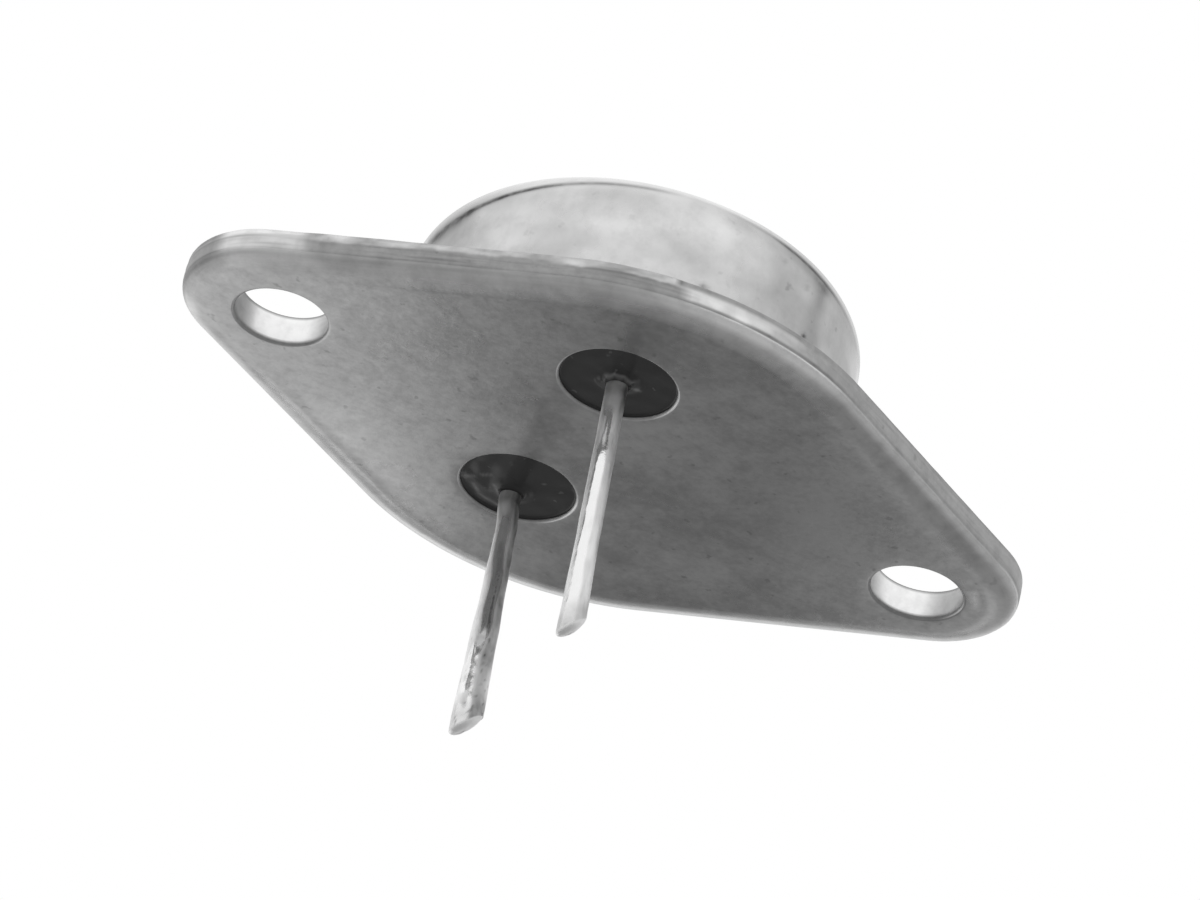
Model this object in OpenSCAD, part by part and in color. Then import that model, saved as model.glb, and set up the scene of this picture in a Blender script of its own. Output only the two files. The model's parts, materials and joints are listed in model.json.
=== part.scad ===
// Power transistor in a two-lead metal can, in millimetres.
// The seating face of the header lies in the plane z = 0, with the cap above it and the leads below.
// The origin is midway between the mounting holes, which lie along the X axis.

/* [Header] */
// Distance between the centres of the mounting holes
hole_spacing = 30.15; // [29.9:0.05:30.4]
// Diameter of the mounting holes
mount_hole_d = 4; // [3.8:0.05:4.2]
// Width of the header's metal round each mounting hole
ear_w = 2.35; // [2.2:0.05:2.6]
// Width of the header's top outside the cap's rim, across the middle
land_w = 1.7; // [1:0.1:2.3]
// Thickness of the header
flange_t = 1.45; // [1.4:0.05:1.75]
// Width of the rolled-over border that stamping leaves around the seating face
roll_w = 1.5; // [1:0.1:1.6]
// Radius of the gentle part of that roll
roll_r = 3; // [2.8:0.1:4]
// Radius of its tight part, where it meets the edge wall
roll_corner_r = 0.4; // [0.2:0.05:0.5]
// Rounding at the mouths of the mounting holes on the seating face
mount_mouth_r = 0.3; // [0.1:0.05:0.3]

/* [Cap] */
// Height from the seating face to the top of the cap
total_h = 8.4; // [7.2:0.1:8.5]
// Outer diameter of the cap's wall
cap_d = 19.6; // [19.4:0.1:20.4]
// Width of the cap's rim, which is welded to the header, outside the wall
rim_w = 1; // [0.8:0.1:1.3]
// Thickness of the cap's sheet
cap_t = 0.45; // [0.3:0.05:0.6]
// Outer radius of the cap's shoulder
shoulder_r = 2; // [1.2:0.1:2.5]
// Outer radius where the wall turns into the rim
rim_bend_r = 0.3; // [0.2:0.05:0.4]

/* [Leads and seals] */
// Diameter of the leads
lead_d = 1; // [0.97:0.01:1.09]
// Length of the emitter lead below the seating face, along its middle
emitter_lead_l = 11.6; // [11.2:0.1:12.1]
// Length of the base lead below the seating face, along its middle
base_lead_l = 12; // [11.2:0.1:12.1]
// Distance between the two leads
lead_spacing = 10.92; // [10.7:0.01:11.1]
// Distance from the line of the leads to the far mounting hole
lead_line_to_hole = 16.89; // [16.6:0.01:17.1]
// Slant of the leads' cropped ends, in degrees from square
crop_angle = 42; // [0:1:45]
// Diameter of the glass seals and of their holes in the header
seal_d = 5.2; // [4.9:0.1:5.4]
// Rounding at the mouths of the seal holes on the seating face
seal_mouth_r = 0.27; // [0.15:0.01:0.3]
// Radius of the glass that creeps up the wall of its hole, to the end of the rounded mouth
wall_creep_r = 0.18; // [0.1:0.02:0.3]
// Radius of the collar of glass that creeps along each lead
collar_r = 1; // [0.7:0.05:1.1]

/* [Inside] */
// Width of the copper heat spreader, across the header
spreader_w = 8; // [6:0.1:9]
// Gap that keeps the heat spreader clear of the seals and of the cap's wall
spreader_gap = 0.5; // [0.3:0.1:1]
// Thickness of the heat spreader
spreader_t = 1; // [0.6:0.1:1.5]
// Side of the square silicon die
die_side = 4; // [3.6:0.1:4.6]
// Thickness of the die
die_t = 0.25; // [0.2:0.05:0.4]
// Thickness of the braze and solder foils
foil_t = 0.08; // [0.05:0.01:0.15]
// Diameter of the two emitter wires
emitter_wire_d = 0.38; // [0.25:0.01:0.45]
// Diameter of the base wire
base_wire_d = 0.25; // [0.2:0.01:0.38]
// Distance between the two emitter wires
wire_pitch = 0.7; // [0.7:0.02:0.8]
// Height of the wires' arches above the bonds
wire_rise = 2; // [1.5:0.1:2.4]

/* [Hidden] */
$fn = 96;
// Small overlap between the shapes that make one solid
eps = 0.01;
// How far a cutting shape stands clear of the metal it cuts
cut_run = 1;

// Header outline: a middle disc and two end discs joined by their common tangents
cap_r = cap_d / 2;
rim_r = cap_r + rim_w;
center_r = rim_r + land_w;
end_r = mount_hole_d / 2 + ear_w;
end_x = hole_spacing / 2;
tangent_angle = asin((center_r - end_r) / end_x);
tangent_l = end_x * cos(tangent_angle);

// Rolled border: the gentle arc starts flat on the seating face and runs into the tight one
wall_z = roll_r - sqrt(pow(roll_r - roll_corner_r, 2) - pow(roll_w - roll_corner_r, 2));
roll_run = roll_r * (roll_w - roll_corner_r) / (roll_r - roll_corner_r);
// Width of the border's section, which reaches behind the roll into the plate
border_w = roll_w + 1;

// Leads and seals
lead_r = lead_d / 2;
lead_x = end_x - lead_line_to_hole;
lead_y = lead_spacing / 2;
seal_r = seal_d / 2;
// The flat of the glass lies this far inside the seating face
glass_recess = seal_mouth_r + wall_creep_r;
// Thickness of the glass where the collar ends on the lead
collar_lip = 0.05;
// Nail head at the inner end of a lead, which the wires are bonded to
lead_head_w = 0.3;
lead_head_r = lead_r + lead_head_w;
lead_head_t = 0.4;

// Inside the cap, from the header up
spreader_x = lead_x + seal_r + spreader_gap;
spreader_end_x = sqrt(pow(cap_r - cap_t - spreader_gap, 2) - pow(spreader_w / 2, 2));
spreader_l = spreader_end_x - spreader_x;
die_x = (spreader_x + spreader_end_x) / 2;
braze_z = flange_t;
spreader_z = braze_z + foil_t;
solder_z = spreader_z + spreader_t;
die_z = solder_z + foil_t;
contact_z = die_z + die_t;
contact_t = 0.04;
bond_z = contact_z + contact_t;

// Contacts on the die: a narrow one for the base and a broad one for the emitter
die_margin = 0.2;
base_contact_w = 0.7;
contact_gap = 0.25;
contact_l = die_side - 2 * die_margin;
emitter_contact_w = contact_l - base_contact_w - contact_gap;
emitter_contact_y = die_side / 2 - die_margin - emitter_contact_w / 2;
base_contact_y = -die_side / 2 + die_margin + base_contact_w / 2;

// Feet of the bonded wires, as multiples of the wire's diameter
foot_d = 1.5;
foot_t = 0.33;
// Angle by which an arch runs on past its bonds, so that it is cut off flat on them
arch_run = 4;

function chord(from, to) = norm([to[0] - from[0], to[1] - from[1]]);
function heading(from, to) = atan2(to[1] - from[1], to[0] - from[0]);

// Cross-section of the header from a distance inner to its edge at reach, with the rolled border
module flange_section(inner, reach) {
    translate([inner, 0])
        square([reach - roll_w - inner, flange_t]);
    translate([inner, wall_z])
        square([reach - inner, flange_t - wall_z]);
    intersection() {
        translate([reach - roll_w, roll_r])
            circle(roll_r);
        translate([reach - roll_w - eps, 0])
            square([roll_run + eps, wall_z + eps]);
    }
    translate([reach - roll_corner_r, wall_z])
        circle(roll_corner_r);
}

// Straight border along one of the four tangents
module tangent_border() {
    rotate([0, 0, 90 - tangent_angle])
        rotate([90, 0, 0])
            linear_extrude(tangent_l)
                flange_section(center_r - border_w, center_r);
}

// The stamped plate, before its holes
module flange_blank() {
    inset_n = [sin(tangent_angle), cos(tangent_angle)];
    mid = (center_r - roll_w) * inset_n;
    end = [end_x, 0] + (end_r - roll_w) * inset_n;
    linear_extrude(flange_t)
        polygon([[-mid[0], mid[1]], mid, end, [end[0], -end[1]],
                 [mid[0], -mid[1]], -mid, -end, [-end[0], end[1]]]);
    rotate_extrude()
        flange_section(0, center_r);
    for (side = [-1, 1])
        translate([side * end_x, 0, 0])
            rotate_extrude()
                flange_section(0, end_r);
    for (flip_x = [0, 1], flip_y = [0, 1])
        mirror([flip_x, 0, 0])
            mirror([0, flip_y, 0])
                tangent_border();
}

// A hole through the header with a rounded mouth on the seating face
module mouthed_hole(r, mouth_r) {
    translate([0, 0, -cut_run])
        cylinder(r = r, h = flange_t + 2 * cut_run);
    rotate_extrude()
        difference() {
            square([r + mouth_r, mouth_r]);
            translate([r + mouth_r, mouth_r])
                circle(mouth_r);
        }
    translate([0, 0, -cut_run])
        cylinder(r = r + mouth_r, h = cut_run);
}

module header() {
    color("darkgray")
        difference() {
            flange_blank();
            for (side = [-1, 1]) {
                translate([side * end_x, 0, 0])
                    mouthed_hole(mount_hole_d / 2, mount_mouth_r);
                translate([lead_x, side * lead_y, 0])
                    mouthed_hole(seal_r, seal_mouth_r);
            }
        }
}

// Half section of a drawn cup of the given wall radius and height, with a rounded shoulder
module cup_section(r, h, bend_r) {
    square([r - bend_r, h]);
    square([r, h - bend_r]);
    translate([r - bend_r, h - bend_r])
        circle(bend_r);
}

module cap() {
    cup_h = total_h - flange_t;
    color("silver")
        translate([0, 0, flange_t])
            rotate_extrude()
                difference() {
                    union() {
                        cup_section(cap_r, cup_h, shoulder_r);
                        square([rim_r, cap_t]);
                        square([cap_r + rim_bend_r, cap_t + rim_bend_r]);
                    }
                    translate([cap_r + rim_bend_r, cap_t + rim_bend_r])
                        circle(rim_bend_r);
                    translate([0, -eps])
                        cup_section(cap_r - cap_t, cup_h - cap_t + eps, shoulder_r - cap_t);
                }
}

// Glass bead: flat between a collar that creeps along the lead and a smaller one up the hole
module seal_glass() {
    rotate_extrude()
        difference() {
            translate([lead_r, glass_recess - collar_r])
                square([seal_r - lead_r, flange_t - glass_recess + collar_r]);
            translate([lead_r + collar_lip + collar_r, glass_recess - collar_r])
                circle(collar_r);
            translate([lead_r + collar_lip + collar_r, -collar_r])
                square([seal_r - wall_creep_r - lead_r - collar_lip - collar_r, glass_recess + collar_r]);
            translate([seal_r - wall_creep_r, seal_mouth_r])
                circle(wall_creep_r);
            translate([seal_r - wall_creep_r - eps, -collar_r])
                square([wall_creep_r + 2 * eps, seal_mouth_r + collar_r]);
        }
}

// Round lead with a nail head inside the cap and a slanted outer end
module lead(l) {
    difference() {
        translate([0, 0, -l - lead_d])
            cylinder(r = lead_r, h = l + lead_d + bond_z);
        translate([0, 0, -l])
            rotate([0, -crop_angle, 0])
                translate([-2 * lead_d, -lead_d, -3 * lead_d])
                    cube([4 * lead_d, 2 * lead_d, 3 * lead_d]);
    }
    translate([0, 0, bond_z - lead_head_t])
        cylinder(r = lead_head_r, h = lead_head_t);
}

module emitter_seal() {
    color("dimgray")
        translate([lead_x, lead_y, 0])
            seal_glass();
}

module base_seal() {
    color("dimgray")
        translate([lead_x, -lead_y, 0])
            seal_glass();
}

module emitter_lead() {
    color("lightgray")
        translate([lead_x, lead_y, 0])
            lead(emitter_lead_l);
}

module base_lead() {
    color("lightgray")
        translate([lead_x, -lead_y, 0])
            lead(base_lead_l);
}

// A flat block on the axis of the chip
module chip_block(l, w, t, y, z) {
    translate([die_x - l / 2, y - w / 2, z])
        cube([l, w, t]);
}

module spreader_braze() {
    color("goldenrod")
        chip_block(spreader_l, spreader_w, foil_t, 0, braze_z);
}

module heat_spreader() {
    color("peru")
        chip_block(spreader_l, spreader_w, spreader_t, 0, spreader_z);
}

module die_solder() {
    color("lightsteelblue")
        chip_block(die_side, die_side, foil_t, 0, solder_z);
}

module die() {
    color("slategray")
        chip_block(die_side, die_side, die_t, 0, die_z);
}

module emitter_contact() {
    color("gainsboro")
        chip_block(contact_l, emitter_contact_w, contact_t, emitter_contact_y, contact_z);
}

module base_contact() {
    color("gainsboro")
        chip_block(contact_l, base_contact_w, contact_t, base_contact_y, contact_z);
}

// Bonded wire: an arch between two points at bond height, with a flattened foot on each
module bond_wire(from, to, d) {
    span = chord(from, to);
    arch_r = (pow(span / 2, 2) + pow(wire_rise, 2)) / (2 * wire_rise);
    half_angle = asin(span / 2 / arch_r) + arch_run;
    translate([from[0], from[1], bond_z])
        rotate([0, 0, heading(from, to)]) {
            intersection() {
                translate([span / 2, 0, wire_rise - arch_r])
                    rotate([90, 0, 0])
                        rotate([0, 0, 90 - half_angle])
                            rotate_extrude(angle = 2 * half_angle)
                                translate([arch_r, 0])
                                    circle(d / 2);
                translate([-d, -d, 0])
                    cube([span + 2 * d, 2 * d, wire_rise + d]);
            }
            for (x = [0, span])
                translate([x, 0, 0])
                    cylinder(d = foot_d * d, h = foot_t * d);
        }
}

// One of the two emitter wires, which lie side by side
module emitter_wire(side) {
    from = [lead_x, lead_y];
    to = [die_x, emitter_contact_y];
    across = heading(from, to) + 90;
    shift = side * wire_pitch / 2 * [cos(across), sin(across)];
    color("whitesmoke")
        bond_wire(from + shift, to + shift, emitter_wire_d);
}

module emitter_wire_front() {
    emitter_wire(-1);
}

module emitter_wire_rear() {
    emitter_wire(1);
}

module base_wire() {
    color("whitesmoke")
        bond_wire([lead_x, -lead_y], [die_x, base_contact_y], base_wire_d);
}

header();
cap();
emitter_seal();
base_seal();
emitter_lead();
base_lead();
spreader_braze();
heat_spreader();
die_solder();
die();
emitter_contact();
base_contact();
emitter_wire_front();
emitter_wire_rear();
base_wire();
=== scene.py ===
"""Looks for the power transistor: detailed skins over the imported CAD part, materials, light, camera."""

import json
from dataclasses import dataclass
from math import asin, atan2, ceil, cos, degrees, exp, hypot, pi, radians, sin, sqrt, tan

import bpy
from mathutils import Matrix, Vector, noise
from mathutils.geometry import delaunay_2d_cdt


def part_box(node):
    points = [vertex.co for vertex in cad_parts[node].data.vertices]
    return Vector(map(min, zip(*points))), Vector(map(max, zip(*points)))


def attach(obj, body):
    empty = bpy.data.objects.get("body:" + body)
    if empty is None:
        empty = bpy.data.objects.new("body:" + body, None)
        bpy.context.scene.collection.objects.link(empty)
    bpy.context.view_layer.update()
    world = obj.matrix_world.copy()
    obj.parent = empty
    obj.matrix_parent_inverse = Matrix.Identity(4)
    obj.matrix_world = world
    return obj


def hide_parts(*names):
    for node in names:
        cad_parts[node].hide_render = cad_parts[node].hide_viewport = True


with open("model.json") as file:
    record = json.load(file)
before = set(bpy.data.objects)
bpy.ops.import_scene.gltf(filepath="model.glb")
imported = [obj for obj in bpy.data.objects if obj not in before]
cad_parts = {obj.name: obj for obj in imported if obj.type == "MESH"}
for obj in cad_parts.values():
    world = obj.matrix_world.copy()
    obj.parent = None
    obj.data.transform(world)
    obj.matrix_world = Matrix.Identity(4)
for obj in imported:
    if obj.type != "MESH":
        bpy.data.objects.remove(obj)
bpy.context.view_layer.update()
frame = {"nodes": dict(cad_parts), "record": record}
nodes = frame["nodes"]
mounts = {mount["name"]: mount for mount in frame["record"]["mounts"]}
scene = bpy.context.scene

# ---- sizes, in millimetres

MM = 0.001


def box_mm(node_name):
    """The lowest and the highest corner of a node."""
    return [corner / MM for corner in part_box(node_name)]


header_high = box_mm("header")[1]
FLANGE_T = header_high.z
MIDDLE_R = header_high.y
HOLE_X = mounts["mounting_holes"]["dims"]["spacing_x_mm"] / 2
HOLE_R = mounts["mounting_holes"]["dims"]["hole_r_mm"]
EAR_R = header_high.x - HOLE_X
# The rolled border of the seating face: its width, its gentle radius and its tight one
ROLL_W = 1.5
ROLL_R = 3.0
ROLL_CORNER_R = 0.4
# Rounding of the flange's upper edge, of the holes' upper edges and of the mounting holes' mouths
EDGE_LIP = 0.05
HOLE_LIP = 0.06
HOLE_MOUTH_R = 0.16
HOLE_MOUTH_DEPTH = 0.12

cap_high = box_mm("cap")[1]
CAP_TOP = cap_high.z
RIM_R = cap_high.x
RIM_W = 1.0
CAP_R = RIM_R - RIM_W
SHEET_T = 0.45
SHOULDER_R = 2.0
RIM_BEND_R = 0.3
RIM_EDGE_R = 0.12
# Where the cap's upright wall starts and where it turns into the shoulder
WALL_LOW = FLANGE_T + SHEET_T + RIM_BEND_R
WALL_HIGH = CAP_TOP - SHOULDER_R

seal_low, seal_high = box_mm("base_seal")
# The holes for the glass are drawn this much tighter than the solids' holes
SEAL_TRIM = 0.08
SEAL_R = (seal_high.x - seal_low.x) / 2 - SEAL_TRIM
SEAL_MOUTH_R = 0.14
# The glass's recessed lower face, and its curves down the lead and down the hole's wall
GLASS_Z = 0.2
MENISCUS_R = 0.3
WALL_CREEP_R = 0.08
# The emitter's glass sits off its lead, mostly towards the other seal
EMITTER_SEAL_DRIFT = (0.03, -0.62)

LEAD_R = mounts["base_pin"]["dims"]["r_mm"]
# The head that each lead has inside the can, the height of its crown and bevel, and the bevel's width
LEAD_HEAD_R = LEAD_R + 0.3
LEAD_HEAD_T = 0.4
HEAD_BEVEL_H = 0.04
HEAD_BEVEL_W = 0.05
# Slant of the crop, the rounding that blunt cutters leave round it, and what that takes off its length
CROP_ANGLE = 42
CROP_ROUNDING = 0.43
TIP_REACH = 0.15

# How fine the skins are: spacings in mm, and points or rows
EDGE_SPACING = 0.28
SEATING_SPACING = 0.5
TOP_SPACING = 0.6
MOUNTING_HOLE_POINTS = 96
SEAL_HOLE_POINTS = 120
CAP_POINTS = 288
SEAL_POINTS = 144
LEAD_POINTS = 48
LEAD_ROWS = 230
LEAD_TIP_ROWS = 7


def pin_place(pin):
    """The middle of a lead."""
    x, y, _ = mounts[pin]["pos_m"]
    return x / MM, y / MM


def seal_place(name):
    """The middle of a seal's hole."""
    x, y = pin_place(name.replace("seal", "pin"))
    drift = EMITTER_SEAL_DRIFT if name == "emitter_seal" else (0.0, 0.0)
    return x + drift[0], y + drift[1]


# ---- curves and patterns

def ripple(x, y=0.0, z=0.0, seed=0):
    """Smooth random value from about -1 to 1 at a point of noise space."""
    return noise.noise(Vector((x + 31.7 * seed, y - 12.9 * seed, z + 7.3 * seed)))


def bell(value, centre, width):
    """1 at the centre, falling off to both sides."""
    return exp(-(((value - centre) / width) ** 2))


def step(value, start, end):
    """0 before start, 1 after end, smooth between them."""
    t = min(1.0, max(0.0, (value - start) / (end - start)))
    return t * t * (3 - 2 * t)


def fade(value, start, end):
    """1 before start, 0 after end, smooth between them."""
    return 1 - step(value, start, end)


def plateau(value, rise, fall):
    """0, then 1 after the span of the rise, then 0 again after the span of the fall."""
    return step(value, *rise) * fade(value, *fall)


def within(value, span, softness):
    """1 inside a span, 0 outside it, smooth over the softness to either side of its ends."""
    low, high = span
    return plateau(value, (low - softness, low + softness), (high - softness, high + softness))


def turned(angle, origin):
    """An angle as seen from an origin, from -180 to 180 degrees."""
    return (angle - origin + 180) % 360 - 180


def round_angles(count):
    return [2 * pi * i / count for i in range(count)]


def arc(centre_r, centre_z, radius, start, end, count):
    """Points (r, z) on an arc, with angles from the +r direction towards +z, in degrees."""
    angles = [radians(start + (end - start) * i / count) for i in range(count + 1)]
    return [(centre_r + radius * cos(a), centre_z + radius * sin(a)) for a in angles]


def line(start, end, count):
    return [tuple(a + (b - a) * i / count for a, b in zip(start, end)) for i in range(count + 1)]


def distance_to(path, spot):
    """How far a spot lies from a path of straight stretches."""
    nearest = []
    for start, end in zip(path, path[1:]):
        start, run = Vector(start), Vector(end) - Vector(start)
        share = min(1.0, max(0.0, (spot - start).dot(run) / run.length_squared))
        nearest.append((spot - start - share * run).length)
    return min(nearest)


def spots_at(x, y, spots):
    """Strength at a point of round marks, each given as x, y, radius and strength."""
    return sum(strength * bell(hypot(x - sx, y - sy), 0, radius) for sx, sy, radius, strength in spots)


def strokes_at(spot, strokes):
    """Strength at a spot of drawn-out marks, each given as a path, a width and a strength."""
    return sum(strength * bell(distance_to(path, spot), 0, width) for path, width, strength in strokes)


def inside_convex(point, loop, margin):
    """Whether a point is inside a loop that runs counter-clockwise, at least a margin from its sides."""
    for a, b in zip(loop, loop[1:] + loop[:1]):
        side = b - a
        if side.cross(point - a) < margin * side.length:
            return False
    return True


# ---- skins

class Skin:
    """A piece in the making: points in mm, each with the coordinates that its material's streaks follow
    (flow), and with its wear and painted light: its shine and painted highlights, its grime and painted
    shade, and how much tools have dragged along it.
    """

    def __init__(self, name):
        self.name = name
        self.points, self.flows, self.faces = [], [], []
        self.marks = {"shine": [], "grime": [], "drag": []}

    def add(self, point, flow=(0.0, 0.0, 0.0), shine=0.0, grime=0.0, drag=0.0):
        self.points.append(tuple(point))
        self.flows.append(flow)
        for label, value in (("shine", shine), ("grime", grime), ("drag", drag)):
            self.marks[label].append(min(1.0, max(0.0, value)))
        return len(self.points) - 1

    def circle(self, centre, radius, z, count):
        """A ring of unworn points."""
        x, y = centre
        return [self.add((x + radius * cos(a), y + radius * sin(a), z)) for a in round_angles(count)]

    def band(self, lower, upper):
        """Faces between two closed rings of as many points."""
        for i in range(len(lower)):
            j = (i + 1) % len(lower)
            self.faces.append((lower[i], lower[j], upper[j], upper[i]))

    def bands(self, rings, flip=False):
        if flip:
            rings = [list(reversed(ring)) for ring in rings]
        for lower, upper in zip(rings, rings[1:]):
            self.band(lower, upper)

    def fan(self, ring, tip, flip=False):
        for i in range(len(ring)):
            j = (i + 1) % len(ring)
            self.faces.append((ring[j], ring[i], tip) if flip else (ring[i], ring[j], tip))

    def plate(self, rim, holes, state, spacing, flip):
        """Fills a flat face inside a convex rim and outside round holes with even triangles.

        Each hole is its ring of points, its centre and its radius; state gives height, shine with painted
        light, and grime with painted shade.
        """
        ring_points = list(rim)
        edges = [(i, (i + 1) % len(rim)) for i in range(len(rim))]
        for ring, _, _ in holes:
            start = len(ring_points)
            ring_points += ring
            edges += [(start + i, start + (i + 1) % len(ring)) for i in range(len(ring))]
        flat = [Vector(self.points[i][:2]) for i in ring_points]
        rim_flat = flat[:len(rim)]
        reach_x = max(p.x for p in rim_flat)
        reach_y = max(p.y for p in rim_flat)
        row_h = spacing * sqrt(3) / 2
        margin = 0.4 * spacing
        for row in range(-ceil(reach_y / row_h), ceil(reach_y / row_h) + 1):
            for column in range(-ceil(reach_x / spacing), ceil(reach_x / spacing) + 1):
                p = Vector(((column + 0.5 * (row % 2)) * spacing, row * row_h))
                clear = all((p - Vector(c)).length > r + margin for _, c, r in holes)
                if clear and inside_convex(p, rim_flat, margin):
                    flat.append(p)
                    z, shine, grime = state(p.x, p.y)
                    ring_points.append(self.add((p.x, p.y, z), (p.x, p.y, 0.0), shine, grime))
        _, _, triangles, sources, _, _ = delaunay_2d_cdt(flat, edges, [], 1, 1e-6)
        for triangle in triangles:
            corners = [ring_points[sources[i][0]] for i in triangle]
            if not any(set(corners) <= set(ring) for ring, _, _ in holes):
                self.faces.append(tuple(reversed(corners)) if flip else tuple(corners))

    def build(self, node_name, material, crease=35):
        """Makes the piece, which stands in for its node. Edges sharper than the crease stay sharp."""
        mesh = bpy.data.meshes.new(self.name)
        mesh.from_pydata([tuple(c * MM for c in p) for p in self.points], [], self.faces)
        flow = mesh.attributes.new("flow", "FLOAT_VECTOR", "POINT")
        flow.data.foreach_set("vector", [c for f in self.flows for c in f])
        for label, values in self.marks.items():
            mesh.attributes.new(label, "FLOAT", "POINT").data.foreach_set("value", values)
        mesh.validate()
        mesh.shade_smooth()
        mesh.set_sharp_from_angle(angle=radians(crease))
        mesh.materials.append(material)
        piece = bpy.data.objects.new(self.name, mesh)
        scene.collection.objects.link(piece)
        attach(piece, "root")
        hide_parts(node_name)


# ---- header

# Stretches of the flange's edge, by bearing about the part's middle, in degrees from +X:
# the painted highlight on the left end, the burr along the front, and the painted highlight on the stretch
# right of it
LEFT_END_HIGHLIGHT = (-174, -164.5)
FRONT_BURR = (-164, -100)
FRONT_HIGHLIGHT = (-99.5, -66)
# Where the front's painted highlight starts, the burr is broken by a nick
NICK = -101
# The creased stretch right of the middle, given as the spans over which it begins and ends
CREASED = ((-100, -94), (20, 40))
# Spans over which the edge's front ends, its softer right end begins, and darkening begins along its top
FRONT_END = (-20, 10)
SOFT_END_START = (-72, -55)
TOP_DARKENING_START = (-54, -46)
# The rolled border, lightened partly by rubs and partly as painted highlight: dull towards the left end and
# duller at its tip (by bearings to both sides), brighter along the middle of the front, with a painted
# highlight at the left end, and rubbed over the rear
DULL_END_START = (150, 172)
DULL_TIP_START = (172, 177)
BRIGHT_ROLL = (-106, -62)
LEFT_ROLL_HIGHLIGHT = (-173, -164)
REAR_ROLL_RUB = (22, 110)
# The rear's strongest rub: its bearing and its spread
REAR_RUB_PEAK = (105, 30)
# Smudges on the seating face, and a broad faint darkening of its right part: x, y, radius and strength
SMUDGES = ((3.9, 6.9, 0.65, 0.4), (2.9, 6.5, 0.4, 0.25), (1.3, 7.6, 0.5, 0.15), (4.9, -3.4, 0.3, 0.3),
           (6.2, 0.8, 0.5, 0.15), (-9.4, 5.5, 0.35, 0.15), (-11.2, 2.8, 0.3, 0.15), (9.5, 4.0, 0.6, 0.12),
           (9.0, -2.0, 5.0, 0.2))
# Its rubbed patch beside the right mounting hole, and broad faint lighter patches at the rear left
RUB_AND_LIGHTER_PATCHES = ((17.6, -1.6, 0.8, 0.25), (-9.6, 5.8, 2.4, 0.09), (-6.6, 7.8, 2.4, 0.1), (-3.4, 9.4, 2.2, 0.08))
# Faint dark streaks from the seals' edges, painted reflections of the leads: a path, a width and a strength
LEAD_REFLECTIONS = ((((-2.8, -8.5), (-3.1, -10.6)), 0.3, 0.14), (((-2.8, 2.3), (-3.5, -1.2)), 0.3, 0.12))
# Direction of the side of the mounting holes' walls that gets a painted highlight, and its spread
HOLE_HIGHLIGHT_SIDE = (72, 46)
# Drag of the punch on a hole's wall, which dulls it more than the rolled edge is dulled
HOLE_DRAG = 2.4


def header_columns(spacing):
    """Columns of points round the header's edge, as (centre x, radius, normal angle, distance along it).

    A column stands at its centre plus its radius along the normal; insets shorten the radius. They run
    counter-clockwise from the left end. Where the angle changes between stations, the edge is an arc.
    """
    slope = degrees(asin((MIDDLE_R - EAR_R) / HOLE_X))
    corner = 90 - slope
    stations = [(-HOLE_X, EAR_R, 180), (-HOLE_X, EAR_R, 180 + corner), (0, MIDDLE_R, 180 + corner),
                (0, MIDDLE_R, 360 - corner), (HOLE_X, EAR_R, 360 - corner), (HOLE_X, EAR_R, 360 + corner),
                (0, MIDDLE_R, 360 + corner), (0, MIDDLE_R, 540 - corner), (-HOLE_X, EAR_R, 540 - corner),
                (-HOLE_X, EAR_R, 540)]
    columns = []
    travelled = 0.0
    for (x0, r0, a0), (x1, r1, a1) in zip(stations, stations[1:]):
        length = r0 * radians(a1 - a0) if a1 != a0 else HOLE_X * cos(radians(slope))
        count = ceil(length / spacing)
        for i in range(count):
            t = i / count
            columns.append((x0 + (x1 - x0) * t, r0 + (r1 - r0) * t, radians(a0 + (a1 - a0) * t),
                            travelled + length * t))
        travelled += length
    return columns


def flange_section():
    """The header's edge from the seating face outwards and up, as (inset from the outline, height)."""
    wall_z = ROLL_R - sqrt((ROLL_R - ROLL_CORNER_R) ** 2 - (ROLL_W - ROLL_CORNER_R) ** 2)
    turn = degrees(asin((ROLL_W - ROLL_CORNER_R) / (ROLL_R - ROLL_CORNER_R)))
    section = arc(ROLL_W, ROLL_R, ROLL_R, 270, 270 - turn, 8)
    section += arc(ROLL_CORNER_R, wall_z, ROLL_CORNER_R, 270 - turn, 180, 8)[1:]
    section += line((0, wall_z), (0, FLANGE_T - EDGE_LIP), 16)[1:]
    section += arc(EDGE_LIP, FLANGE_T - EDGE_LIP, EDGE_LIP, 180, 90, 3)[1:]
    return section


class EdgeSpot:
    """A spot on the flange's edge: its place, its unevenness, and the worn stretches and painted highlights
    that reach it.
    """

    def __init__(self, x, y, z, along):
        bearing = degrees(atan2(y, x))
        self.bearing, self.z, self.along = bearing, z, along
        self.streak = ripple(0.2 * along, 5 * z, seed=1) + 0.6 * ripple(0.5 * along, 11 * z, seed=2)
        self.lumps = ripple(1.3 * along, 2 * z, seed=3)
        self.front = fade(bearing, *FRONT_END)
        # Where the painted highlights lie: on the left end's wall and on the front stretch
        self.left = within(bearing, LEFT_END_HIGHLIGHT, 1.2)
        self.bright = plateau(bearing, (FRONT_HIGHLIGHT[0] - 1.5, FRONT_HIGHLIGHT[0] + 2),
                              (FRONT_HIGHLIGHT[0] + 12, FRONT_HIGHLIGHT[1] + 8))
        self.creased = plateau(bearing, *CREASED)
        self.soft_end = step(bearing, *SOFT_END_START) * self.front
        self.burr = within(bearing, FRONT_BURR, 2)
        ragged_z = 1.0 + 0.16 * ripple(0.6 * along, seed=15) + 0.1 * ripple(1.9 * along, seed=17)
        self.burr_top = step(z, ragged_z, ragged_z + 0.14) * self.burr


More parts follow.
